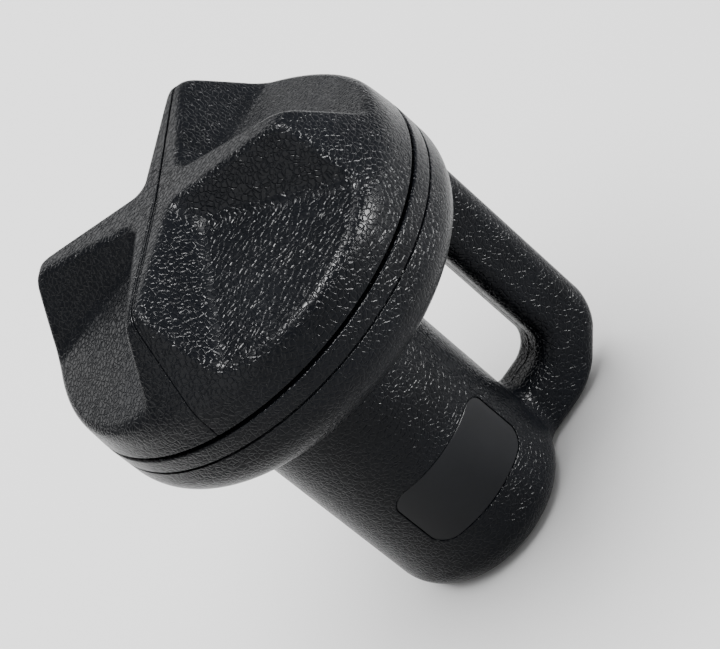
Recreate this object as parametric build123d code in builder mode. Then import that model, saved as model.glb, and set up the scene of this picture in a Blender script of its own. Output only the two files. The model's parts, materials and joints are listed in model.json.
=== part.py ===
"""Plate-loaded hand kettlebell: a slim body with a side handle carries a wide head,
and a four-armed grip cap screws down on a central spindle to clamp the iron plates.

Millimetres.  The origin is on the head's axis at floor level, +Z is up towards the
grip cap, and the handle is on the +X side.
"""
from build123d import *
import os
from math import cos, radians, sin, tan

# ------------------------------------------------------------------ body and head
rim_radius = 95.0            # widest radius of the head
body_radius = 46.8           # outside of the slim body
body_offset = 12.7           # the body's axis stands this far behind the head's axis
body_wall = 4.0
body_floor = 5.0
base_round = 17.0            # round between the body's side and its flat base
inner_round = 8.0
bowl_z = 136.0               # underside of the head
bowl_flat_radius = 68.0      # flat part of the underside
bowl_round_height = 24.0     # height of the rounded stretch up to the rim
bowl_floor = 4.0
bowl_wall = 6.0
ring_z = 166.5               # joint between the bowl and the rim ring
ring_top_z = 175.7
ring_edge_round = 1.0
groove_height = 0.8          # fine groove around that joint
groove_depth = 1.2

# ------------------------------------------------------------------ handle
grip_outer = 90.6            # outer face of the grip, from the head's axis
grip_inner = 60.5
grip_width = 28.0
grip_edge_round = 8.5
handle_bottom_z = 1.2
handle_foot_x = 63.5         # the outer face slopes in from here to here
handle_slope_z = 25.5
handle_leg_z = 32.0          # top of the lower leg
handle_foot_round = 10.0
handle_outer_round = 9.5
handle_inner_round = 12.0
rod_x = 74.3                 # steel rod inside the grip
rod_radius = 6.0
rod_z = (34.0, 148.3)
rod_pin_z = 42.0
rod_pin_radius = 2.5
rod_pin_length = 20.0
rod_nut_z = 143.5
rod_nut_height = 4.8
rod_nut_flats = 18.0
rod_pocket_radius = 11.0
rod_chamfer = 1.0
pin_end_gap = 0.2

# ------------------------------------------------------------------ label recess
label_z = (35.0, 71.5)
label_width = 60.8
label_corner = 8.0
label_depth = 1.2
label_thickness = 0.7
label_gap = 0.15

# ------------------------------------------------------------------ grip cap
cap_z = 177.6                # underside of the cap's skirt
cap_radius = 94.8
cap_skirt_height = 0.4
cap_top_z = 232.5            # tops of the arms at their outer ends
cap_middle_z = 230.8         # the middle of the cross lies a little lower
cap_top_radius = 60.0        # the top is level from here out
cap_shoulder = 72.3          # radius where the level top would meet the sloping flank
cap_shoulder_round = 10.0
cap_hip = (93.5, 192.5)      # where the flank turns into the steep skirt
cap_hip_round = 25.0
arm_tip = (66.0, 4.5, 232.5)       # along the arm, across it, height
valley_root = (22.5, 219.9)        # deepest inner corner: along the valley, height
valley_corner = (88.4, 20.4, 199.4)    # along the arm, across it, height
valley_slope = 20.6          # degrees that a valley's floor falls outwards
valley_round = 5.0
spigot_radius = 88.5         # the cap's spigot inside the rim ring
spigot_wall = 4.0
spigot_z = 164.0
cap_ceiling_drop = 4.3       # roof thickness under a valley's floor
arm_pocket = ((21.0, 192.0), (4.0, 224.0))     # half width and height, low and high
arm_pocket_reach = 70.0
split_gap = 0.3              # hairline between the two halves of the cap

# ------------------------------------------------------------------ seal
seal_radius = 87.4
seal_section = 1.3
seal_z = 169.4
seal_groove_depth = 2.5
seal_groove_height = 2.8

# ------------------------------------------------------------------ inside
slip = 0.05                  # radial clearance of screws, nuts and press fits
spindle_radius = 8.0
spindle_z = (5.0, 200.0)
spindle_chamfer = 1.5
keyway_width = 4.0
keyway_depth = 2.5
keyway_z = 166.0
bore_radius = 8.5            # loose bore around the spindle
flange_radius = 34.0
flange_height = 6.0
slug_radius = 38.0
slug_height = 36.0
slug_count = 3
pad_height = 1.0
end_pad_height = 2.5
spindle_nut_flats = 24.0
spindle_nut_height = 10.0
spindle_washer_radius = 16.0
spindle_washer_height = 1.5
plate_radii = (61.0, 83.0, 83.0, 83.0)
plate_height = 7.0
pad_radius = 60.0
plate_edge = 1.0
clamp_height = 3.0
clamp_bore = 8.2
key_clearance = 0.1
thrust_radius = 14.0
thrust_height = 1.5
nut_flange_radius = 25.0
nut_flange_height = 4.0
nut_barrel_radius = 15.0
nut_top_z = 198.0
cap_plate_radius = 80.0
cap_plate_height = 3.0
cap_plate_hole_circle = 41.0
cap_plate_hole_count = 6
cap_plate_hole_radius = 9.0

# ------------------------------------------------------------------ fasteners
bowl_screw_circle = 38.5     # about the body's axis
bowl_screw_count = 6
bowl_screw = (2.5, 5.0, 2.6, 14.0)     # radius, head radius, head height, length
bowl_boss_radius = 5.0
bowl_boss_z = 125.0
ring_screw_circle = 91.8
ring_screw_count = 8
ring_screw = (1.5, 2.5, 3.0, 17.0)
cap_screw_circle = 62.0
cap_screw_count = 8
cap_screw = (2.5, 4.5, 2.5, 17.0)
cap_boss_radius = 5.0
nut_screw_circle = 20.0
nut_screw_count = 4
nut_screw = (2.0, 3.8, 2.0, 7.0)

half_step = 22.5             # turns a circle of screws clear of the cap's split
everything = 400.0           # larger than the whole object

os.makedirs("parts", exist_ok=True)


def save(piece, label):
    """Name a finished piece and write it."""
    piece.label = label
    export_step(piece, f"parts/{label}.step")


def body_level(height):
    """Horizontal plane whose origin is on the body's own axis."""
    return Plane((-body_offset, 0, height))


def make_screw(size, countersunk, grow=0.0):
    """Solid screw along Z with its head's top at the origin, pointing down.

    With grow it is the hole that such a screw needs.
    """
    radius, head_radius, head_height, length = size
    radius += grow
    head_radius += grow
    under_head = [] if countersunk else [(head_radius, -head_height)]
    with BuildPart() as screw:
        with BuildSketch(Plane.XZ):
            with BuildLine():
                Polyline((0, 0), (head_radius, 0), *under_head, (radius, -head_height),
                         (radius, -length - grow), (0, -length - grow), close=True)
            make_face()
        revolve(axis=Axis.Z)
    return screw.part


def flipped(height):
    """Horizontal plane that faces down, for what is put in from below."""
    return Plane((0, 0, height), x_dir=(1, 0, 0), z_dir=(0, 0, -1))


def circle_of(piece, plane, radius, count, start_angle, mode=Mode.ADD):
    """Put copies of a solid on a circle about the plane's origin."""
    with Locations(plane):
        with PolarLocations(radius, count, start_angle=start_angle):
            add(piece, mode=mode)


def save_screws(label, size, countersunk, plane, places):
    """Write a circle of identical screws as one piece."""
    screw = make_screw(size, countersunk)
    with BuildPart() as screws:
        circle_of(screw, plane, *places)
    save(screws.part, label)


# ================================================================== body shells
bowl_round_top = bowl_z + bowl_round_height
floor_z = bowl_z + bowl_floor
bowl_screw_places = (bowl_screw_circle, bowl_screw_count, 30)
bowl_screw_hole = make_screw(bowl_screw, True, slip)

with BuildPart() as head_envelope:
    with BuildSketch(Plane.XZ):
        with BuildLine():
            Polyline((bowl_flat_radius, bowl_z), (0, bowl_z), (0, ring_z),
                     (rim_radius, ring_z), (rim_radius, bowl_round_top))
            EllipticalCenterArc((bowl_flat_radius, bowl_round_top),
                                rim_radius - bowl_flat_radius, bowl_round_height,
                                start_angle=-90, arc_size=90)
        make_face()
    revolve(axis=Axis.Z)

with BuildPart() as handle:
    with BuildSketch(Plane.XZ):
        with BuildLine():
            FilletPolyline(
                (0, handle_bottom_z), (handle_foot_x, handle_bottom_z),
                (grip_outer, handle_slope_z), (grip_outer, bowl_round_top),
                (grip_inner, bowl_round_top), (grip_inner, handle_leg_z),
                (0, handle_leg_z),
                radius=(0, handle_foot_round, handle_outer_round, 0, 0,
                        handle_inner_round, 0), close=True)
        make_face()
    extrude(amount=grip_width / 2, both=True)
    long_edges = [edge for edge in handle.faces().filter_by(Axis.Y).edges()
                  if edge.center().X > 1 and edge.center().Z < bowl_round_top - 1]
    fillet(long_edges, radius=grip_edge_round)
    add(head_envelope.part, mode=Mode.SUBTRACT)

with BuildPart() as hollow:
    with BuildSketch(body_level(body_floor)):
        Circle(body_radius - body_wall)
    extrude(amount=bowl_z - body_floor)
    fillet(hollow.edges().group_by(Axis.Z)[0], radius=inner_round)

with BuildPart() as label_recess:
    with BuildSketch(Plane.XZ):
        with Locations((-body_offset, sum(label_z) / 2)):
            RectangleRounded(label_width, label_z[1] - label_z[0], label_corner)
    extrude(amount=everything)
    with BuildSketch(Plane.XY):
        with Locations((-body_offset, 0)):
            Circle(body_radius - label_depth)
    extrude(amount=everything, mode=Mode.SUBTRACT)

with BuildPart() as body_block:
    with BuildSketch(body_level(0)):
        Circle(body_radius)
    extrude(amount=bowl_z)
    fillet(body_block.edges().group_by(Axis.Z)[0], radius=base_round)
    add(handle.part)
    add(hollow.part, mode=Mode.SUBTRACT)
    add(label_recess.part, mode=Mode.SUBTRACT)
    with BuildSketch(body_level(bowl_boss_z)):
        with PolarLocations(*bowl_screw_places):
            Circle(bowl_boss_radius)
    extrude(amount=bowl_z - bowl_boss_z)
    circle_of(bowl_screw_hole, body_level(floor_z), *bowl_screw_places,
              mode=Mode.SUBTRACT)
    with BuildSketch(Plane((rod_x, 0, rod_z[0]))):
        Circle(rod_radius + slip)
    extrude(amount=bowl_round_top, mode=Mode.SUBTRACT)
    with BuildSketch(Plane.XZ):
        with Locations((rod_x, rod_pin_z)):
            Circle(rod_pin_radius + slip)
    extrude(amount=rod_pin_length / 2, both=True, mode=Mode.SUBTRACT)

with BuildPart() as body_shell_right:
    add(body_block.part)
    split(bisect_by=Plane.XZ, keep=Keep.TOP)
save(body_shell_right.part, "body_shell_right")

with BuildPart() as body_shell_left:
    add(body_block.part)
    split(bisect_by=Plane.XZ, keep=Keep.BOTTOM)
save(body_shell_left.part, "body_shell_left")

with BuildPart() as label_plate:
    with BuildSketch(Plane.XY.offset(label_z[0] + label_gap)):
        with Locations((-body_offset, 0)):
            Circle(body_radius - label_depth + label_gap + label_thickness)
            Circle(body_radius - label_depth + label_gap, mode=Mode.SUBTRACT)
    extrude(amount=label_z[1] - label_z[0] - 2 * label_gap)
    with BuildSketch(Plane.XZ):
        with Locations((-body_offset, sum(label_z) / 2)):
            RectangleRounded(label_width - 2 * label_gap,
                             label_z[1] - label_z[0] - 2 * label_gap, label_corner)
    extrude(amount=everything, mode=Mode.INTERSECT)
save(label_plate.part, "label_plate")

# ================================================================== head: bowl and ring
with BuildPart() as rod_seat:
    with BuildSketch(Plane((rod_x, 0, bowl_z))):
        Circle(rod_pocket_radius)
    extrude(amount=rod_nut_z - bowl_z)
    add(head_envelope.part, mode=Mode.INTERSECT)

with BuildPart() as rim_groove:
    with BuildSketch(Plane.XY.offset(ring_z - groove_height / 2)):
        Circle(rim_radius + 1)
        Circle(rim_radius - groove_depth, mode=Mode.SUBTRACT)
    extrude(amount=groove_height)

ring_screw_places = (ring_screw_circle, ring_screw_count, half_step)
ring_screw_hole = make_screw(ring_screw, False, slip)
inner_rim = rim_radius - bowl_wall

with BuildPart() as rear_bowl:
    add(head_envelope.part)
    with BuildSketch(Plane.XZ):
        with BuildLine():
            Polyline((bowl_flat_radius, floor_z), (0, floor_z), (0, ring_z),
                     (inner_rim, ring_z), (inner_rim, bowl_round_top))
            EllipticalCenterArc((bowl_flat_radius, bowl_round_top),
                                inner_rim - bowl_flat_radius,
                                bowl_round_height - bowl_floor,
                                start_angle=-90, arc_size=90)
        make_face()
    revolve(axis=Axis.Z, mode=Mode.SUBTRACT)
    add(rim_groove.part, mode=Mode.SUBTRACT)
    add(rod_seat.part)
    with BuildSketch(Plane((rod_x, 0, rod_nut_z))):
        Circle(rod_pocket_radius)
    extrude(amount=rod_nut_height + pad_height, mode=Mode.SUBTRACT)
    with Locations((rod_x, 0, rod_nut_z)):
        Hole(rod_radius + slip)
    with Locations((0, 0, floor_z)):
        Hole(bore_radius)
    circle_of(bowl_screw_hole, body_level(floor_z), *bowl_screw_places,
              mode=Mode.SUBTRACT)
    circle_of(ring_screw_hole, Plane.XY.offset(ring_top_z), *ring_screw_places,
              mode=Mode.SUBTRACT)
save(rear_bowl.part, "rear_bowl")

save_screws("bowl_screws", bowl_screw, True, body_level(floor_z), bowl_screw_places)

with BuildPart() as rim_ring:
    with BuildSketch(Plane.XY.offset(ring_z)):
        Circle(rim_radius)
        Circle(inner_rim, mode=Mode.SUBTRACT)
    extrude(amount=ring_top_z - ring_z)
    fillet(rim_ring.edges().group_by(Axis.Z)[-1].sort_by(SortBy.RADIUS)[-1],
           radius=ring_edge_round)
    add(rim_groove.part, mode=Mode.SUBTRACT)
    circle_of(ring_screw_hole, Plane.XY.offset(ring_top_z), *ring_screw_places,
              mode=Mode.SUBTRACT)
save(rim_ring.part, "rim_ring")

save_screws("ring_screws", ring_screw, False, Plane.XY.offset(ring_top_z),
            ring_screw_places)

# ================================================================== handle's steel rod
with BuildPart() as handle_rod:
    with BuildSketch(Plane((rod_x, 0, rod_z[0]))):
        Circle(rod_radius)
    extrude(amount=rod_z[1] - rod_z[0])
    chamfer(handle_rod.edges().filter_by(GeomType.CIRCLE), length=rod_chamfer)
    with BuildSketch(Plane.XZ):
        with Locations((rod_x, rod_pin_z)):
            Circle(rod_pin_radius + slip)
    extrude(amount=grip_width, both=True, mode=Mode.SUBTRACT)
save(handle_rod.part, "handle_rod")

with BuildPart() as handle_rod_pin:
    with BuildSketch(Plane.XZ):
        with Locations((rod_x, rod_pin_z)):
            Circle(rod_pin_radius)
    extrude(amount=rod_pin_length / 2 - pin_end_gap, both=True)
save(handle_rod_pin.part, "handle_rod_pin")

with BuildPart() as handle_rod_nut:
    with BuildSketch(Plane((rod_x, 0, rod_nut_z))):
        RegularPolygon(rod_nut_flats / 2, 6, major_radius=False)
        Circle(rod_radius + slip, mode=Mode.SUBTRACT)
    extrude(amount=rod_nut_height)
save(handle_rod_nut.part, "handle_rod_nut")

# ================================================================== spindle and weights
core_z = body_floor + flange_height
slug_pitch = slug_height + pad_height
slugs_top = core_z + slug_count * slug_pitch
spindle_nut_z = slugs_top + end_pad_height
stack_z = floor_z
plate_pitch = plate_height + pad_height
stack_top = stack_z + len(plate_radii) * plate_pitch


def spindle_ring(label, plane, radius, height, bore, edge=0.0):
    """Round disc on the spindle: its own centre may stand off the spindle's axis."""
    with BuildPart() as disc:
        with BuildSketch(plane):
            Circle(radius)
        extrude(amount=height)
        if edge:
            chamfer(disc.edges().filter_by(GeomType.CIRCLE), length=edge)
        with Locations((0, 0, plane.origin.Z + height)):
            Hole(bore)
    save(disc.part, label)


with BuildPart() as spindle:
    with BuildSketch(Plane.XY.offset(spindle_z[0])):
        Circle(spindle_radius)
    extrude(amount=spindle_z[1] - spindle_z[0])
    chamfer(spindle.edges().group_by(Axis.Z)[-1], length=spindle_chamfer)
    with BuildSketch(Plane.XY.offset(keyway_z)):
        with Locations((-spindle_radius, 0)):
            Rectangle(2 * keyway_depth, keyway_width)
    extrude(amount=spindle_z[1] - keyway_z, mode=Mode.SUBTRACT)
save(spindle.part, "spindle")

spindle_ring("spindle_flange", body_level(body_floor), flange_radius, flange_height,
             spindle_radius + slip)
for index in range(slug_count):
    slug_floor = core_z + index * slug_pitch
    spindle_ring(f"core_pad_{index + 1}", body_level(slug_floor),
                 slug_radius, pad_height, bore_radius)
    spindle_ring(f"core_weight_{index + 1}", body_level(slug_floor + pad_height),
                 slug_radius, slug_height, bore_radius, plate_edge)
spindle_ring("core_top_pad", body_level(slugs_top), slug_radius, end_pad_height,
             bore_radius)

with BuildPart() as spindle_nut:
    with BuildSketch(Plane.XY.offset(spindle_nut_z)):
        RegularPolygon(spindle_nut_flats / 2, 6, major_radius=False)
        Circle(spindle_radius + slip, mode=Mode.SUBTRACT)
    extrude(amount=bowl_z - spindle_washer_height - spindle_nut_z)
save(spindle_nut.part, "spindle_nut")

spindle_ring("spindle_washer", Plane.XY.offset(bowl_z - spindle_washer_height),
             spindle_washer_radius, spindle_washer_height, bore_radius)

for index, radius in enumerate(plate_radii):
    plate_floor = stack_z + index * plate_pitch
    spindle_ring(f"plate_pad_{index + 1}", Plane.XY.offset(plate_floor),
                 pad_radius, pad_height, bore_radius)
    spindle_ring(f"weight_plate_{index + 1}", Plane.XY.offset(plate_floor + pad_height),
                 radius, plate_height, bore_radius, plate_edge)

# ================================================================== clamp
with BuildPart() as clamp_plate:
    with BuildSketch(Plane.XY.offset(stack_top)):
        Circle(plate_radii[-1])
        Circle(clamp_bore, mode=Mode.SUBTRACT)
        with Locations((-spindle_radius + keyway_depth / 2 - 2 * key_clearance, 0)):
            Rectangle(keyway_depth, keyway_width - 2 * key_clearance)
    extrude(amount=clamp_height)
save(clamp_plate.part, "clamp_plate")

thrust_z = stack_top + clamp_height
spindle_ring("thrust_washer", Plane.XY.offset(thrust_z), thrust_radius, thrust_height,
             clamp_bore)

# ================================================================== cap
nut_z = thrust_z + thrust_height
cap_plate_z = nut_z + nut_flange_height
cap_seat_z = cap_plate_z + cap_plate_height
cap_screw_places = (cap_screw_circle, cap_screw_count, half_step)
nut_screw_places = (nut_screw_circle, nut_screw_count, 0)
cap_screw_hole = make_screw(cap_screw, False, slip)
nut_screw_hole = make_screw(nut_screw, True, slip)

with BuildPart() as cap_nut:
    with BuildSketch(Plane.XY.offset(nut_z)):
        Circle(nut_flange_radius)
    extrude(amount=nut_flange_height)
    with BuildSketch(Plane.XY.offset(nut_z)):
        Circle(nut_barrel_radius)
    extrude(amount=nut_top_z - nut_z)
    with Locations((0, 0, nut_top_z)):
        Hole(spindle_radius + slip)
    circle_of(nut_screw_hole, flipped(nut_z), *nut_screw_places, mode=Mode.SUBTRACT)
save(cap_nut.part, "cap_nut")

save_screws("nut_screws", nut_screw, True, flipped(nut_z), nut_screw_places)

with BuildPart() as cap_plate:
    with BuildSketch(Plane.XY.offset(cap_plate_z)):
        Circle(cap_plate_radius)
        Circle(nut_barrel_radius + slip, mode=Mode.SUBTRACT)
        with PolarLocations(cap_plate_hole_circle, cap_plate_hole_count):
            Circle(cap_plate_hole_radius, mode=Mode.SUBTRACT)
        with PolarLocations(*cap_screw_places):
            Circle(cap_screw[0] + slip, mode=Mode.SUBTRACT)
        with PolarLocations(*nut_screw_places):
            Circle(nut_screw[0] + slip, mode=Mode.SUBTRACT)
    extrude(amount=cap_plate_height)
save(cap_plate.part, "cap_plate")

cap_screw_plane = flipped(cap_plate_z - cap_screw[2])
save_screws("cap_screws", cap_screw, False, cap_screw_plane, cap_screw_places)

with BuildPart() as cap_seal:
    with BuildSketch(Plane.XZ):
        with Locations((seal_radius, seal_z)):
            Circle(seal_section)
    revolve(axis=Axis.Z)
save(cap_seal.part, "cap_seal")

root = Vector(valley_root[0], 0, valley_root[1])
tip = Vector(arm_tip[0], -arm_tip[1], arm_tip[2]).rotate(Axis.Z, 45)
corner = Vector(valley_corner[0], -valley_corner[1], valley_corner[2]).rotate(Axis.Z, 45)
side_normal = (corner - root).cross(tip - root)
opposite_normal = Vector(side_normal.X, -side_normal.Y, side_normal.Z)
floor_normal = Vector(sin(radians(valley_slope)), 0, cos(radians(valley_slope)))

with BuildPart() as valley:
    with Locations((0, 0, cap_z)):
        Box(2 * rim_radius, 4 * rim_radius, rim_radius,
            align=(Align.MIN, Align.CENTER, Align.MIN))
    for normal in (floor_normal, side_normal, opposite_normal):
        split(bisect_by=Plane(root, z_dir=normal), keep=Keep.TOP)
    creases = [edge for edge in valley.edges() if edge.distance_to(root) < slip]
    fillet(creases, radius=valley_round)

with BuildPart() as cap_hollow:
    with BuildSketch(Plane.XZ):
        with BuildLine():
            ceiling_z = valley_root[1] - cap_ceiling_drop
            fall = tan(radians(valley_slope))
            edge_z = ceiling_z - fall * (spigot_radius - spigot_wall - valley_root[0])
            Polyline((0, spigot_z), (spigot_radius - spigot_wall, spigot_z),
                     (spigot_radius - spigot_wall, edge_z),
                     (valley_root[0], ceiling_z), (0, ceiling_z), close=True)
        make_face()
    revolve(axis=Axis.Z)
    for azimuth in (45, 135):
        across_arm = Plane.YZ.rotated((0, 0, azimuth))
        (low_width, low_z), (high_width, high_z) = arm_pocket
        with BuildSketch(across_arm):
            with BuildLine():
                Polyline((-low_width, low_z), (low_width, low_z),
                         (high_width, high_z), (-high_width, high_z), close=True)
            make_face()
        extrude(amount=arm_pocket_reach, both=True)
    with BuildSketch(Plane.XY.offset(cap_seat_z)):
        with PolarLocations(*cap_screw_places):
            Circle(cap_boss_radius)
    extrude(amount=rim_radius, mode=Mode.SUBTRACT)

with BuildPart() as cap_block:
    with BuildSketch(Plane.XZ):
        with BuildLine():
            FilletPolyline(
                (0, cap_middle_z), (cap_top_radius, cap_top_z),
                (cap_shoulder, cap_top_z), cap_hip,
                (cap_radius, cap_z + cap_skirt_height), (cap_radius, cap_z),
                (spigot_radius, cap_z), (spigot_radius, spigot_z), (0, spigot_z),
                radius=(0, 0, cap_shoulder_round, cap_hip_round, 0, 0, 0, 0, 0),
                close=True)
        make_face()
    revolve(axis=Axis.Z)
    with PolarLocations(0, 4):
        add(valley.part, mode=Mode.SUBTRACT)
    add(cap_hollow.part, mode=Mode.SUBTRACT)
    with BuildSketch(Plane.XZ):
        with Locations((spigot_radius, seal_z)):
            Rectangle(2 * seal_groove_depth, seal_groove_height)
    revolve(axis=Axis.Z, mode=Mode.SUBTRACT)
    circle_of(cap_screw_hole, cap_screw_plane, *cap_screw_places, mode=Mode.SUBTRACT)

for label, azimuth in (("cap_half_left", 135), ("cap_half_right", -45)):
    outward = Vector(1, 0, 0).rotate(Axis.Z, azimuth)
    with BuildPart() as cap_half:
        add(cap_block.part)
        split(bisect_by=Plane(outward * split_gap / 2, z_dir=outward), keep=Keep.TOP)
    save(cap_half.part, label)
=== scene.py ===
"""Looks of the hand kettlebell: moulded, pebble-grained shells around the CAD frame."""
import json
from math import cos, pi, radians, sin, tan

import bpy
import numpy as np
from mathutils import Matrix, Vector


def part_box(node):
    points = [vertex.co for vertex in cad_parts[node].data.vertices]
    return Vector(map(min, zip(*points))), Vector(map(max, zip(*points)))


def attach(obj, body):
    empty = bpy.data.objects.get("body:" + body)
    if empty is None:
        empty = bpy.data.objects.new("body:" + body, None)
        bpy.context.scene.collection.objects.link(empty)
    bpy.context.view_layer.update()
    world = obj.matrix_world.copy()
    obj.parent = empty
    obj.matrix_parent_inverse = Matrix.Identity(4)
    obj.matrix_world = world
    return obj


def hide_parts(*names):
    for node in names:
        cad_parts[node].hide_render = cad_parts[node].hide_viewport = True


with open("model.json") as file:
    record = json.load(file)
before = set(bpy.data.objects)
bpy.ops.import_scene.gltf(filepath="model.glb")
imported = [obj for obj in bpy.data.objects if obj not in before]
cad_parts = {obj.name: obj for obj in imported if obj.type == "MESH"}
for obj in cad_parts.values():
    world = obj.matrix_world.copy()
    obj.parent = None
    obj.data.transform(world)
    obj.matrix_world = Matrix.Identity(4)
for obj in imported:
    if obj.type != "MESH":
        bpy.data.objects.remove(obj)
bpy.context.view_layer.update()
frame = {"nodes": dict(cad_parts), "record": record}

MM = 0.001

# ---------------------------------------------------------------- sizes, in millimetres


def node_mm(name):
    """Lowest and highest corners of a CAD node, in millimetres."""
    low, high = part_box(name)
    return np.array(low) / MM, np.array(high) / MM


cap_low, cap_high = node_mm("cap_half_left")
ring_low, ring_high = node_mm("rim_ring")
bowl_low = node_mm("rear_bowl")[0]
body_low, body_high = node_mm("body_shell_left")

RIM_RADIUS = 95.0
BODY_RADIUS = float(body_high[1])
BODY_X = float(body_low[0]) + BODY_RADIUS
BODY_WALL = 4.0
BODY_FLOOR = 5.0
BODY_INNER_ROUND = 8.0
BASE_ROUND = 17.0
BOWL_Z = float(bowl_low[2])
BOWL_FLAT = 68.0
BOWL_RISE = 24.0
BOWL_WALL = 6.0
BOWL_FLOOR = 4.0
RING_Z = float(ring_low[2])
RING_TOP = float(ring_high[2])
RING_GROOVE = 0.45
RING_GROOVE_DEPTH = 1.2
SPINDLE_HOLE = 9.0
HUB_RADIUS = 40.0
SMALL_ROUND = 0.5
RING_TOP_ROUND = 1.0

GRIP_OUTER = float(body_high[0])
GRIP_INNER = 60.5
GRIP_WIDTH = 28.0
GRIP_ROUND = 9.0
HANDLE_Z = 1.2
HANDLE_FOOT_X = 63.5
HANDLE_SLOPE_Z = 25.5
HANDLE_LEG_Z = 32.0
HANDLE_CORNER = 9.5
HANDLE_INNER = 12.0
HANDLE_BLEND = 6.0

LABEL_Z = (35.0, 71.5)
LABEL_HALF = 30.4
LABEL_CORNER = 8.0
LABEL_DEPTH = 1.2
LABEL_EDGE = 0.8
LABEL_THICK = 0.7
LABEL_GAP = 0.15
LABEL_SLIT = 0.03            # gap around the plate, inside the recess

CAP_Z = 177.6
CAP_RADIUS = 94.8
CAP_SKIRT_Z = 178.0
CAP_TOP = float(cap_high[2])
CAP_MIDDLE = 230.8
CAP_FLAT = 60.0
CAP_SHOULDER = (72.3, CAP_TOP)
CAP_SHOULDER_REACH = 6.5
CAP_HIP = (93.5, 192.5)
CAP_HIP_REACH = 2.0
ARM_TIP = (66.0, 4.5, 232.5)
VALLEY_ROOT = (22.5, 219.9)
VALLEY_CORNER = (88.4, 20.4, 199.4)
VALLEY_SLOPE = radians(20.6)
VALLEY_CREASE = 3.0
VALLEY_ROOT_CREASE = 4.8
ARM_EDGE = 2.4
SPIGOT_RADIUS = 88.5
SPIGOT_WALL = 4.0
SPIGOT_ROUND = 0.5
SPIGOT_OVERLAP = 5.0
CAP_FOOT_ROUND = 0.8
SPIGOT_Z = float(cap_low[2])
CAP_CEILING_DROP = 4.3
ARM_POCKET_LOW = (21.0, 192.0)
ARM_POCKET_HIGH = (4.0, 224.0)
ARM_POCKET_REACH = 70.0
CAP_BOSS = (62.0, 5.0, 183.5)
SEAM_OPEN = 0.40
SEAM_TIGHT = 0.18
SEAM_SHUT = 0.05
SEAM_FADE = 74.0
SEAM_EDGE = 0.5
SEAM_LINE = (0.35, 1.3, 0.28)   # the fine line: depth, distance from the seam, width

# ---------------------------------------------------------------- shapes as distance fields


def round_max(a, b, radius):
    """Intersection of two distance fields whose shared edge is rounded."""
    corner = np.hypot(np.maximum(a + radius, 0), np.maximum(b + radius, 0))
    return np.minimum(np.maximum(a, b), -radius) + corner


def soft_max(a, b, reach):
    """Intersection of two fields that meet at a blunt angle, eased over that reach."""
    overlap = np.maximum(reach - np.abs(a - b), 0)
    return np.maximum(a, b) + overlap ** 2 / (4 * reach)


def slant(a, b, start, end):
    """Distance outside the straight line from start to end, in the plane of a and b."""
    run, rise = end[0] - start[0], end[1] - start[1]
    return ((a - start[0]) * -rise + (b - start[1]) * run) / np.hypot(run, rise)


def round_min(a, b, radius):
    """Union of two distance fields with a fillet where they meet."""
    return -round_max(-a, -b, radius)


def body_outer(x, y, z):
    """Slim round body, its label recess and the D-shaped handle."""
    around = np.hypot(x - BODY_X, y)
    barrel = round_max(around - BODY_RADIUS, -z, BASE_ROUND)
    slope = slant(x, z, (GRIP_OUTER, HANDLE_SLOPE_Z), (HANDLE_FOOT_X, HANDLE_Z))
    outline = round_max(HANDLE_Z - z, slope, HANDLE_CORNER)
    outline = round_max(outline, x - GRIP_OUTER, HANDLE_CORNER)
    opening = round_max(x - GRIP_INNER, HANDLE_LEG_Z - z, HANDLE_INNER)
    outline = np.maximum(outline, -opening)
    outline = np.maximum(outline, BODY_X - x)
    handle = round_max(outline, np.abs(y) - GRIP_WIDTH / 2, GRIP_ROUND)
    whole = np.maximum(round_min(barrel, handle, HANDLE_BLEND), -z)
    middle = sum(LABEL_Z) / 2
    half_height = (LABEL_Z[1] - LABEL_Z[0]) / 2
    across = np.abs(x - BODY_X) - LABEL_HALF
    along = np.abs(z - middle) - half_height
    panel = round_max(across, along, LABEL_CORNER)
    recess = np.maximum(panel, BODY_RADIUS - LABEL_DEPTH - around)
    recess = np.maximum(recess, y)
    return round_max(whole, -recess, LABEL_EDGE)


def head_underside(x, y, z):
    """Negative inside the head, whose underside the body and handle stop at."""
    around = np.maximum(np.hypot(x, y) - BOWL_FLAT, 0)
    below = np.maximum(BOWL_Z + BOWL_RISE - z, 0)
    return ellipse(around, below, RIM_RADIUS - BOWL_FLAT, BOWL_RISE)


def ellipse(a, b, radius_a, radius_b):
    """Distance to a quarter ellipse, close to exact near its line."""
    scaled = np.hypot(a / radius_a, b / radius_b)
    steep = np.hypot(a / radius_a ** 2, b / radius_b ** 2)
    return scaled * (scaled - 1) / np.maximum(steep, 1e-6)


def body_field(x, y, z):
    """Body shell: outer shape less its hollow, cut off by the head."""
    around = np.hypot(x - BODY_X, y)
    hollow = round_max(around - BODY_RADIUS + BODY_WALL, BODY_FLOOR - z,
                       BODY_INNER_ROUND)
    shell = np.maximum(body_outer(x, y, z), -hollow)
    return np.maximum(shell, -head_underside(x, y, z))


def label_field(x, y, z):
    """Thin curved plate that lies in the label recess."""
    around = np.hypot(x - BODY_X, y)
    back = BODY_RADIUS - LABEL_DEPTH + LABEL_GAP
    middle = sum(LABEL_Z) / 2
    half_height = (LABEL_Z[1] - LABEL_Z[0]) / 2 - LABEL_SLIT
    across = np.abs(x - BODY_X) - LABEL_HALF + LABEL_SLIT
    along = np.abs(z - middle) - half_height
    panel = round_max(across, along, LABEL_CORNER)
    plate = round_max(around - back - LABEL_THICK, panel, LABEL_EDGE / 2)
    return np.maximum(np.maximum(plate, back - around), y)


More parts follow.
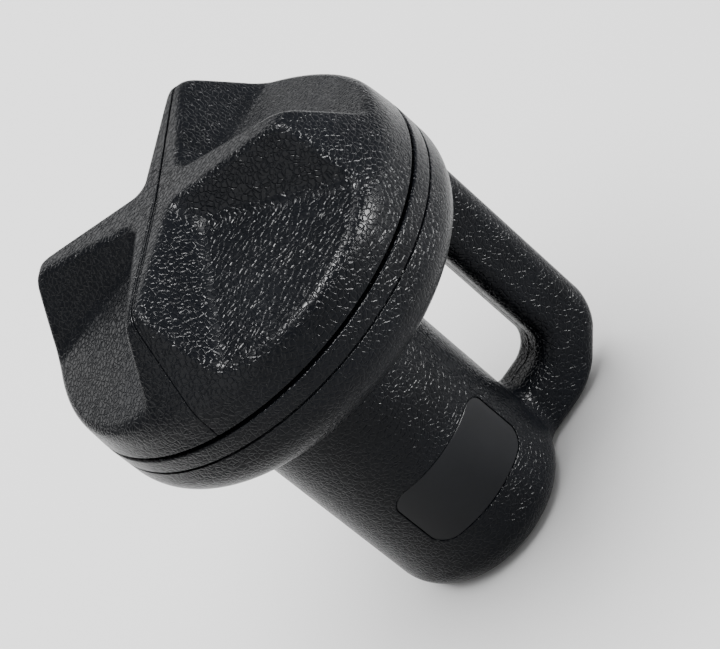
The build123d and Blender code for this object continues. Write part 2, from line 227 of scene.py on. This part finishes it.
def side_plane():
    """Slopes of an arm's side: its half width grows inwards and downwards."""
    diagonal = VALLEY_ROOT[0] / 2 ** 0.5
    root = (diagonal, diagonal, VALLEY_ROOT[1])
    rows = [[ARM_TIP[0] - p[0], ARM_TIP[2] - p[2]] for p in (root, VALLEY_CORNER)]
    widths = [p[1] - ARM_TIP[1] for p in (root, VALLEY_CORNER)]
    return np.linalg.solve(np.array(rows), np.array(widths))


ARM_TAPER, ARM_DRAFT = side_plane()


def cap_outer(u, v, z):
    """Round cap less the four valleys between its arms, which lie along u and v."""
    around = np.hypot(u, v)
    skirt = slant(around, z, CAP_HIP, (CAP_RADIUS, CAP_SKIRT_Z))
    flank = slant(around, z, CAP_SHOULDER, CAP_HIP)
    top = z - CAP_MIDDLE - (CAP_TOP - CAP_MIDDLE) * np.minimum(around / CAP_FLAT, 1)
    dome = soft_max(soft_max(skirt, flank, CAP_HIP_REACH), top, CAP_SHOULDER_REACH)
    u = np.abs(u)
    v = np.abs(v)
    normal = np.sqrt(1 + ARM_TAPER ** 2 + ARM_DRAFT ** 2)
    down = ARM_DRAFT * (ARM_TIP[2] - z) + ARM_TIP[1]
    side_u = (down + ARM_TAPER * (ARM_TIP[0] - u) - v) / normal
    side_v = (down + ARM_TAPER * (ARM_TIP[0] - v) - u) / normal
    floor = VALLEY_ROOT[1] - tan(VALLEY_SLOPE) * ((u + v) / 2 ** 0.5 - VALLEY_ROOT[0])
    below = (floor - z) * cos(VALLEY_SLOPE)
    valley = round_max(side_u, side_v, VALLEY_ROOT_CREASE)
    valley = round_max(valley, below, VALLEY_CREASE)
    return round_max(dome, -valley, ARM_EDGE)


def cap_field(u, v, z):
    """Cap shell with its spigot, hollow inside, before it is parted in two."""
    around = np.hypot(u, v)
    outer = round_max(cap_outer(u, v, z), CAP_Z - z, CAP_FOOT_ROUND)
    spigot = round_max(around - SPIGOT_RADIUS, SPIGOT_Z - z, SPIGOT_ROUND)
    spigot = np.maximum(spigot, z - CAP_Z - SPIGOT_OVERLAP)
    outer = np.minimum(outer, spigot)
    ceiling = VALLEY_ROOT[1] - CAP_CEILING_DROP
    inward = np.maximum(around, VALLEY_ROOT[0]) - VALLEY_ROOT[0]
    roof = (z - ceiling + tan(VALLEY_SLOPE) * inward) * cos(VALLEY_SLOPE)
    hollow = np.maximum(around - SPIGOT_RADIUS + SPIGOT_WALL, roof)
    (low_half, low_z), (high_half, high_z) = ARM_POCKET_LOW, ARM_POCKET_HIGH
    half = low_half + (high_half - low_half) * (z - low_z) / (high_z - low_z)
    for along, across in ((u, v), (v, u)):
        pocket = np.maximum(np.abs(across) - half, np.abs(along) - ARM_POCKET_REACH)
        pocket = np.maximum(np.maximum(pocket, z - high_z), low_z - z)
        hollow = np.minimum(hollow, pocket)
    turn = np.arctan2(v, u)
    step = pi / 4
    turn = turn - step * (np.floor(turn / step) + 0.5)
    reach, boss_radius, boss_z = CAP_BOSS
    boss = np.hypot(around * np.cos(turn) - reach, around * np.sin(turn)) - boss_radius
    boss = np.maximum(boss, boss_z - z)
    hollow = np.maximum(hollow, -boss)
    return np.maximum(outer, -hollow)


def blend(value, start, width):
    """Rises smoothly from 0 to 1 where the value passes start."""
    return 1 / (1 + np.exp(np.clip(-(value - start) / width, -60, 60)))


def seam_lines(u, v):
    """Fine groove that one pair of arms shows beside the seam."""
    depth, distance, width = SEAM_LINE
    groove = depth * np.exp(-((np.abs(v) - distance) / width) ** 2)
    return groove * blend(-u, 0, 2.0) * blend(u, -SEAM_FADE, 3.0)


def seam_gap(u):
    """Half the gap between the cap's halves: open, then tight, then nearly shut."""
    gap = SEAM_TIGHT + (SEAM_OPEN - SEAM_TIGHT) * blend(u, -4.0, 1.5)
    return gap - (SEAM_TIGHT - SEAM_SHUT) * blend(-u, SEAM_FADE, 3.0)


def cap_half_field(sign):
    """One half of the cap, on the side of v with that sign."""
    def field(u, v, z):
        whole = cap_field(u, v, z) + seam_lines(u, v)
        return round_max(whole, seam_gap(u) - sign * v, SEAM_EDGE)
    return field


# ---------------------------------------------------------------- meshes


def lines(*stretches):
    """Grid lines from stretches of (start, end, spacing)."""
    values = []
    for start, end, spacing in stretches:
        count = max(1, int(round((end - start) / spacing)))
        values += list(np.linspace(start, end, count + 1))[:-1]
    values.append(stretches[-1][1])
    return np.array(values)


def gradient(field, points, reach=0.02):
    """Slope of a field at points, by central differences."""
    columns = []
    for axis in range(3):
        shift = np.zeros(3)
        shift[axis] = reach
        ahead = field(*(points + shift).T)
        behind = field(*(points - shift).T)
        columns.append((ahead - behind) / (2 * reach))
    return np.stack(columns, 1)


def net(field, xs, ys, zs, passes=4):
    """Quads of the surface where the field is zero, drawn tight onto it."""
    grids = np.meshgrid(xs, ys, zs, indexing="ij")
    values = field(*[g.ravel() for g in grids]).reshape(grids[0].shape)
    inside = values < 0
    cells = tuple(n - 1 for n in values.shape)
    total = np.zeros(cells + (3,))
    count = np.zeros(cells)
    crossings = []
    for axis in range(3):
        first = [slice(None)] * 3
        second = [slice(None)] * 3
        first[axis] = slice(None, -1)
        second[axis] = slice(1, None)
        first, second = tuple(first), tuple(second)
        where = np.argwhere(inside[first] != inside[second])
        start = tuple(where.T)
        after = where.copy()
        after[:, axis] += 1
        end = tuple(after.T)
        share = values[start] / (values[start] - values[end])
        place = np.stack([g[start] + share * (g[end] - g[start]) for g in grids], 1)
        around = []
        others = [(axis + 1) % 3, (axis + 2) % 3]
        for a, b in ((1, 1), (0, 1), (0, 0), (1, 0)):
            cell = where.copy()
            cell[:, others[0]] -= a
            cell[:, others[1]] -= b
            around.append(cell)
            np.add.at(total, tuple(cell.T), place)
            np.add.at(count, tuple(cell.T), 1)
        crossings.append((around, inside[start]))
    used = count > 0
    number = np.full(cells, -1)
    number[used] = np.arange(used.sum())
    points = total[used] / count[used][:, None]
    quads = []
    for around, leaving in crossings:
        corners = np.stack([number[tuple(cell.T)] for cell in around], 1)
        corners[~leaving] = corners[~leaving][:, ::-1]
        quads.append(corners)
    for _ in range(passes):
        slope = gradient(field, points)
        size = np.maximum((slope ** 2).sum(1), 1e-6)
        step = slope * (field(*points.T) / size)[:, None]
        length = np.linalg.norm(step, axis=1)[:, None]
        points = points - step * np.minimum(1, 0.8 / np.maximum(length, 1e-9))
    normals = gradient(field, points, 0.05)
    normals /= np.maximum(np.linalg.norm(normals, axis=1), 1e-9)[:, None]
    return points, np.concatenate(quads), normals


def new_piece(name, points, faces, material, body, replaced, normals=None):
    """Smooth mesh piece from millimetre points, riding on a body."""
    mesh = bpy.data.meshes.new(name)
    mesh.from_pydata((np.asarray(points) * MM).tolist(), [], np.asarray(faces).tolist())
    mesh.polygons.foreach_set("use_smooth", [True] * len(mesh.polygons))
    if normals is not None:
        mesh.normals_split_custom_set_from_vertices(np.asarray(normals).tolist())
    mesh.materials.append(material)
    piece = bpy.data.objects.new(name, mesh)
    bpy.context.scene.collection.objects.link(piece)
    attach(piece, body)
    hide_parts(*replaced)
    return piece


def lathe(profile, segments=288):
    """Points and quads of a closed profile of (radius, height) turned about Z."""
    profile = np.array(profile)
    turns = np.arange(segments) * 2 * pi / segments
    rings = [np.stack([profile[:, 0] * cos(t), profile[:, 0] * sin(t), profile[:, 1]], 1)
             for t in turns]
    count = len(profile)
    index = np.arange(segments * count).reshape(segments, count)
    ahead = np.roll(index, -1, 0)
    quads = np.stack([index, ahead, np.roll(ahead, -1, 1), np.roll(index, -1, 1)], -1)
    return np.concatenate(rings), quads.reshape(-1, 4)


def arc(centre, radii, start, end, steps):
    """Points of an elliptical arc, in degrees."""
    angles = np.radians(np.linspace(start, end, steps + 1))
    return [(centre[0] + radii[0] * cos(a), centre[1] + radii[1] * sin(a))
            for a in angles]


# ---------------------------------------------------------------- materials
PLASTIC_IOR = 1.17
LABEL_IOR = 1.24
GRAIN_GROOVE = 0.2
GRAIN_SWELL = 0.5


def node_tree(name):
    material = bpy.data.materials.new(name)
    material.use_nodes = True
    nodes = material.node_tree.nodes
    shader = next(n for n in nodes if n.type == "BSDF_PRINCIPLED")
    return material, nodes, material.node_tree.links, shader


def grained_plastic(name, colour, roughness, grain, depth, ior=PLASTIC_IOR):
    """Black moulded plastic whose grain has cells and grooves, in millimetres."""
    material, nodes, links, shader = node_tree(name)
    place = nodes.new("ShaderNodeTexCoord")
    warp = nodes.new("ShaderNodeTexNoise")
    warp.inputs["Scale"].default_value = 0.5 / (grain * MM)
    warp.inputs["Detail"].default_value = 2.0
    links.new(place.outputs["Object"], warp.inputs["Vector"])
    centred = nodes.new("ShaderNodeVectorMath")
    centred.operation = "SUBTRACT"
    centred.inputs[1].default_value = (0.5, 0.5, 0.5)
    links.new(warp.outputs["Color"], centred.inputs[0])
    moved = nodes.new("ShaderNodeVectorMath")
    moved.operation = "MULTIPLY_ADD"
    moved.inputs[1].default_value = (grain * MM,) * 3
    links.new(centred.outputs["Vector"], moved.inputs[0])
    links.new(place.outputs["Object"], moved.inputs[2])
    cells = nodes.new("ShaderNodeTexVoronoi")
    cells.feature = "DISTANCE_TO_EDGE"
    cells.inputs["Scale"].default_value = 1.0 / (grain * MM)
    links.new(moved.outputs["Vector"], cells.inputs["Vector"])
    groove = nodes.new("ShaderNodeMapRange")
    groove.interpolation_type = "SMOOTHSTEP"
    groove.inputs["From Max"].default_value = GRAIN_GROOVE
    links.new(cells.outputs["Distance"], groove.inputs["Value"])
    swell = nodes.new("ShaderNodeTexNoise")
    swell.inputs["Scale"].default_value = 0.9 / (grain * MM)
    swell.inputs["Detail"].default_value = 2.0
    links.new(place.outputs["Object"], swell.inputs["Vector"])
    height = nodes.new("ShaderNodeMath")
    height.operation = "MULTIPLY_ADD"
    height.inputs[1].default_value = GRAIN_SWELL
    links.new(swell.outputs["Fac"], height.inputs[0])
    links.new(groove.outputs["Result"], height.inputs[2])
    bump = nodes.new("ShaderNodeBump")
    bump.inputs["Strength"].default_value = 1.0
    bump.inputs["Distance"].default_value = depth * MM
    links.new(height.outputs[0], bump.inputs["Height"])
    links.new(bump.outputs["Normal"], shader.inputs["Normal"])
    wear = nodes.new("ShaderNodeTexNoise")
    wear.inputs["Scale"].default_value = 28.0
    wear.inputs["Detail"].default_value = 6.0
    links.new(place.outputs["Object"], wear.inputs["Vector"])
    tint = nodes.new("ShaderNodeValToRGB")
    tint.color_ramp.elements[0].position = 0.3
    tint.color_ramp.elements[0].color = tuple(c * 0.8 for c in colour) + (1,)
    tint.color_ramp.elements[1].position = 0.7
    tint.color_ramp.elements[1].color = tuple(c * 1.3 for c in colour) + (1,)
    links.new(wear.outputs["Fac"], tint.inputs["Fac"])
    links.new(tint.outputs["Color"], shader.inputs["Base Color"])
    polish = nodes.new("ShaderNodeMapRange")
    polish.inputs["From Min"].default_value = 0.25
    polish.inputs["From Max"].default_value = 0.75
    polish.inputs["To Min"].default_value = roughness - 0.04
    polish.inputs["To Max"].default_value = roughness + 0.04
    links.new(wear.outputs["Fac"], polish.inputs["Value"])
    links.new(polish.outputs["Result"], shader.inputs["Roughness"])
    shader.inputs["IOR"].default_value = ior
    return material


def metal(name, colour, roughness, grain, metallic=1.0, strength=0.15):
    """Machined, plated or cast metal, and rubber with metallic 0."""
    material, nodes, links, shader = node_tree(name)
    place = nodes.new("ShaderNodeTexCoord")
    noise = nodes.new("ShaderNodeTexNoise")
    noise.inputs["Scale"].default_value = 1.0 / (grain * MM)
    noise.inputs["Detail"].default_value = 5.0
    links.new(place.outputs["Object"], noise.inputs["Vector"])
    tint = nodes.new("ShaderNodeValToRGB")
    tint.color_ramp.elements[0].color = tuple(c * 0.75 for c in colour) + (1,)
    tint.color_ramp.elements[1].color = tuple(min(1, c * 1.15) for c in colour) + (1,)
    links.new(noise.outputs["Fac"], tint.inputs["Fac"])
    links.new(tint.outputs["Color"], shader.inputs["Base Color"])
    polish = nodes.new("ShaderNodeMapRange")
    polish.inputs["To Min"].default_value = roughness - 0.08
    polish.inputs["To Max"].default_value = roughness + 0.1
    links.new(noise.outputs["Fac"], polish.inputs["Value"])
    links.new(polish.outputs["Result"], shader.inputs["Roughness"])
    bump = nodes.new("ShaderNodeBump")
    bump.inputs["Strength"].default_value = strength
    bump.inputs["Distance"].default_value = grain * MM
    links.new(noise.outputs["Fac"], bump.inputs["Height"])
    links.new(bump.outputs["Normal"], shader.inputs["Normal"])
    shader.inputs["Metallic"].default_value = metallic
    return material


BLACK = (0.0012, 0.0014, 0.0019)
shell_plastic = grained_plastic("shell_plastic", BLACK, 0.27, 2.4, 0.18)
label_plastic = grained_plastic("label_plastic", BLACK, 0.32, 0.6, 0.006, LABEL_IOR)
cad_finishes = {
    "shell_plastic": shell_plastic,
    "cap_plastic": shell_plastic,
    "label_plastic": label_plastic,
    "iron": metal("cast_iron", (0.09, 0.09, 0.10), 0.6, 1.2, 0.6, 0.35),
    "steel": metal("turned_steel", (0.55, 0.55, 0.57), 0.32, 0.3),
    "zinc": metal("zinc_plate", (0.66, 0.67, 0.70), 0.28, 0.5),
    "bronze": metal("bronze", (0.58, 0.40, 0.18), 0.35, 0.4),
    "rubber": metal("rubber", (0.02, 0.02, 0.02), 0.7, 0.6, 0.0, 0.3),
}
for row in frame["record"]["subparts"]:
    node = frame["nodes"][row["node"]]
    node.data.materials.clear()
    node.data.materials.append(cad_finishes[row["material_slot"]])

# ---------------------------------------------------------------- pieces
FINE_PANEL = (31.0, 74.5)   # heights between which the body is meshed finely


def make_body(sign, name, node):
    """One half of the body and handle, parted in the handle's plane."""
    def field(x, y, z):
        return np.maximum(body_field(x, y, z), -sign * y)
    low = BODY_X - BODY_RADIUS - 3
    xs = lines((low, -43.5, 1.1), (-43.5, -30, 0.5), (-30, 7, 1.0), (7, 20, 0.5),
               (20, GRIP_OUTER + 3, 1.1))
    ys = lines((-BODY_RADIUS - 2, 0.6, 1.1)) if sign < 0 else lines(
        (-0.6, BODY_RADIUS + 2, 1.1))
    zs = lines((-2, FINE_PANEL[0], 1.1), (FINE_PANEL[0], FINE_PANEL[1], 0.5),
               (FINE_PANEL[1], 147.5, 1.1))
    points, quads, normals = net(field, xs, ys, zs)
    return new_piece(name, points, quads, shell_plastic, "base", [node],
                     normals)


def make_label():
    xs = lines((BODY_X - LABEL_HALF - 1, BODY_X + LABEL_HALF + 1, 0.5))
    ys = lines((-BODY_RADIUS - 1, -BODY_RADIUS + 14, 0.3))
    zs = lines((LABEL_Z[0] - 1, LABEL_Z[1] + 1, 0.5))
    points, quads, normals = net(label_field, xs, ys, zs)
    return new_piece("label_panel", points, quads, label_plastic, "base",
                     ["label_plate"], normals)


def make_bowl():
    rise = BOWL_Z + BOWL_RISE
    inner = RIM_RADIUS - BOWL_WALL
    groove = RIM_RADIUS - RING_GROOVE_DEPTH
    lip = RING_Z - RING_GROOVE
    profile = [(SPINDLE_HOLE, BOWL_Z), (HUB_RADIUS, BOWL_Z)]
    profile += arc((BOWL_FLAT, rise), (RIM_RADIUS - BOWL_FLAT, BOWL_RISE), -90, 0, 40)
    small = (SMALL_ROUND, SMALL_ROUND)
    profile += arc((RIM_RADIUS - SMALL_ROUND, lip - SMALL_ROUND), small, 0, 90, 5)
    profile += [(groove, lip), (groove, RING_Z), (inner, RING_Z)]
    profile += arc((BOWL_FLAT, rise), (inner - BOWL_FLAT, BOWL_RISE - BOWL_FLOOR),
                   0, -90, 24)
    profile += [(HUB_RADIUS, BOWL_Z + BOWL_FLOOR), (SPINDLE_HOLE, BOWL_Z + BOWL_FLOOR)]
    points, quads = lathe(profile)
    return new_piece("bowl_shell", points, quads, shell_plastic, "base",
                     ["rear_bowl"])


def make_ring():
    inner = RIM_RADIUS - BOWL_WALL
    groove = RIM_RADIUS - RING_GROOVE_DEPTH
    lip = RING_Z + RING_GROOVE
    profile = [(inner, RING_Z), (groove, RING_Z), (groove, lip)]
    small = (SMALL_ROUND, SMALL_ROUND)
    profile += arc((RIM_RADIUS - SMALL_ROUND, lip + SMALL_ROUND), small, -90, 0, 5)
    profile += arc((RIM_RADIUS - RING_TOP_ROUND, RING_TOP - RING_TOP_ROUND),
                   (RING_TOP_ROUND, RING_TOP_ROUND), 0, 90, 8)
    profile += arc((inner + SMALL_ROUND, RING_TOP - SMALL_ROUND), small, 90, 180, 5)
    points, quads = lathe(profile)
    return new_piece("rim_band", points, quads, shell_plastic, "base",
                     ["rim_ring"])


def make_cap(sign, name, node):
    """One half of the cap, worked out with u and v along its arms."""
    us = lines((-97, 97, 1.1))
    near = [0.0, 0.08, 0.2, 0.32, 0.48, 0.68, 0.9, 1.1, 1.3, 1.5, 1.75, 2.1, 2.6, 3.2]
    vs = np.concatenate([[-0.3], near, lines((4.0, 97, 1.1))]) * sign
    if sign < 0:
        vs = vs[::-1]
    zs = lines((SPIGOT_Z - 2, CAP_Z - 1, 1.3), (CAP_Z - 1, CAP_Z + 2, 0.4),
               (CAP_Z + 2, CAP_TOP + 2, 1.0))
    points, quads, normals = net(cap_half_field(sign), us, vs, zs)
    turn = np.array(Matrix.Rotation(radians(45), 3, "Z"))
    return new_piece(name, points @ turn.T, quads, shell_plastic, "cap", [node],
                     normals @ turn.T)


make_body(1, "body_half_left", "body_shell_left")
make_body(-1, "body_half_right", "body_shell_right")
make_label()
make_bowl()
make_ring()
make_cap(1, "cap_moulding_left", "cap_half_left")
make_cap(-1, "cap_moulding_right", "cap_half_right")

# ---------------------------------------------------------------- stage, light, camera
WORLD_LIGHT = 0.5
LAMP_AIM = Vector((0, 0, 0.18))
FLOOR_HALF = 6.0
CAMERA_PLACE = Vector((-0.1211, -0.9317, 0.6668))
CAMERA_ANGLES = (-98.254, 30.376, -50.037)   # azimuth, elevation and roll
CAMERA_LENS = 124.06


def make_floor():
    material, nodes, links, shader = node_tree("floor_paint")
    place = nodes.new("ShaderNodeTexCoord")
    noise = nodes.new("ShaderNodeTexNoise")
    noise.inputs["Scale"].default_value = 3.0
    links.new(place.outputs["Object"], noise.inputs["Vector"])
    tint = nodes.new("ShaderNodeValToRGB")
    tint.color_ramp.elements[0].color = (0.83, 0.83, 0.83, 1)
    tint.color_ramp.elements[1].color = (0.87, 0.87, 0.87, 1)
    links.new(noise.outputs["Fac"], tint.inputs["Fac"])
    links.new(tint.outputs["Color"], shader.inputs["Base Color"])
    shader.inputs["Roughness"].default_value = 0.8
    mesh = bpy.data.meshes.new("floor")
    size = FLOOR_HALF
    mesh.from_pydata([(-size, -size, 0), (size, -size, 0), (size, size, 0),
                      (-size, size, 0)], [], [(0, 1, 2, 3)])
    mesh.materials.append(material)
    floor = bpy.data.objects.new("floor", mesh)
    bpy.context.scene.collection.objects.link(floor)
    return floor


def area_light(name, direction, distance, size, power, spin=0):
    """Soft rectangular light that shines on the object from that direction."""
    light = bpy.data.lights.new(name, "AREA")
    light.shape = "RECTANGLE"
    light.size, light.size_y = size
    light.energy = power
    lamp = bpy.data.objects.new(name, light)
    away = Vector(direction).normalized()
    level = away.to_track_quat("Z", "Y").to_matrix().to_4x4()
    lamp.matrix_world = (Matrix.Translation(LAMP_AIM + away * distance) @ level
                         @ Matrix.Rotation(radians(spin), 4, "Z"))
    lamp.visible_camera = False
    bpy.context.scene.collection.objects.link(lamp)
    return lamp


def light_only(lamp, thing, state):
    """Let a lamp light only that stage piece, or everything else, as studio flags do."""
    chosen = bpy.data.collections.new(lamp.name + "_flag")
    chosen.objects.link(thing)
    chosen.collection_objects[0].light_linking.link_state = state
    lamp.light_linking.receiver_collection = chosen


def make_world():
    world = bpy.data.worlds.new("studio")
    world.use_nodes = True
    bpy.context.scene.world = world
    background = world.node_tree.nodes["Background"]
    background.inputs["Color"].default_value = (1, 1, 1, 1)
    background.inputs["Strength"].default_value = WORLD_LIGHT


def make_camera():
    """Camera from above and in front, rolled so that the head hangs to the left."""
    data = bpy.data.cameras.new("camera")
    data.sensor_width = 36.0
    data.lens = CAMERA_LENS
    camera = bpy.data.objects.new("camera", data)
    azimuth, elevation, roll = (radians(angle) for angle in CAMERA_ANGLES)
    back = Vector((cos(azimuth) * cos(elevation), sin(azimuth) * cos(elevation),
                   sin(elevation)))
    level = back.to_track_quat("Z", "Y").to_matrix().to_4x4()
    camera.matrix_world = (Matrix.Translation(CAMERA_PLACE) @ level
                           @ Matrix.Rotation(roll, 4, "Z"))
    bpy.context.scene.collection.objects.link(camera)
    bpy.context.scene.camera = camera


floor = make_floor()
make_world()
key = area_light("key", (0.16, -0.28, 0.95), 1.3, (0.18, 0.42), 76, 35)
side = area_light("side", (0.75, -0.66, 0.05), 1.2, (0.2, 0.5), 56)
fill = area_light("fill", (-0.8, -0.45, 0.38), 1.4, (1.3, 1.5), 22)
wash = area_light("wash", (0, 0, 1), 2.4, (3.0, 3.0), 165)
area_light("back", (0.05, 0.86, 0.5), 1.6, (1.8, 0.8), 14)
light_only(wash, floor, "INCLUDE")
for lamp in (key, side, fill):
    light_only(lamp, floor, "EXCLUDE")
make_camera()
